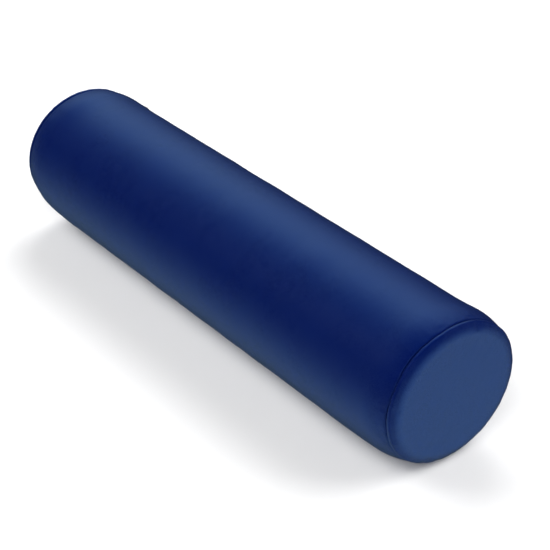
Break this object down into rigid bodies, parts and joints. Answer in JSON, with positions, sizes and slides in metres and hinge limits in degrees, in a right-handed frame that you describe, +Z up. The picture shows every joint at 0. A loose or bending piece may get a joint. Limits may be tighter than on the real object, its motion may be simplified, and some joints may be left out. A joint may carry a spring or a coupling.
{
  "type": "bolster pillow",
  "caption": "Full-round cylindrical massage-table bolster: firm foam roll in a sewn vinyl cover with crowned round ends and a zip along its back.",
  "frame": {"origin": "middle of the flat strip that the roll lies on, under the middle of its length", "axes": "+X along the roll to the near end, +Y out of the side with the zip, +Z up"},
  "size_m": [0.614, 0.1612, 0.1484],
  "materials": {
    "vinyl": "satin",
    "thread": "satin",
    "batting": "matte",
    "foam": "matte",
    "label": "matte",
    "tape": "matte",
    "coil": "satin",
    "stop": "satin",
    "enamel": "satin"
  },
  "bodies": {
    "bolster": {"sleeve_panel": "vinyl", "near_end_panel": "vinyl", "far_end_panel": "vinyl", "near_seam_thread": "thread", "far_seam_thread": "thread", "near_bar_tack": "thread", "far_bar_tack": "thread", "zip_topstitch_upper": "thread", "zip_topstitch_lower": "thread", "near_end_pad": "batting", "far_end_pad": "batting", "fibre_wrap": "batting", "foam_core": "foam", "care_label": "label", "zip_tape_upper": "tape", "zip_tape_lower": "tape", "zip_coil_upper": "coil", "zip_coil_lower": "coil", "zip_top_stop_upper": "stop", "zip_top_stop_lower": "stop", "zip_bottom_stop": "stop"},
    "zip_slider": {"zip_slider": "enamel"},
    "zip_pull": {"zip_pull_tab": "enamel"}
  },
  "joints": [
    {"name": "zip_slider_travel", "type": "slide", "parent": "bolster", "child": "zip_slider", "axis": [1, 0, 0], "range_m": [0, 0.5116]},
    {"name": "zip_pull_swing", "type": "hinge", "parent": "zip_slider", "child": "zip_pull", "pos_m": [-0.2558, 0.08066, 0.07312], "axis": [0, 0, 1], "range_deg": [0, 180]}
  ]
}
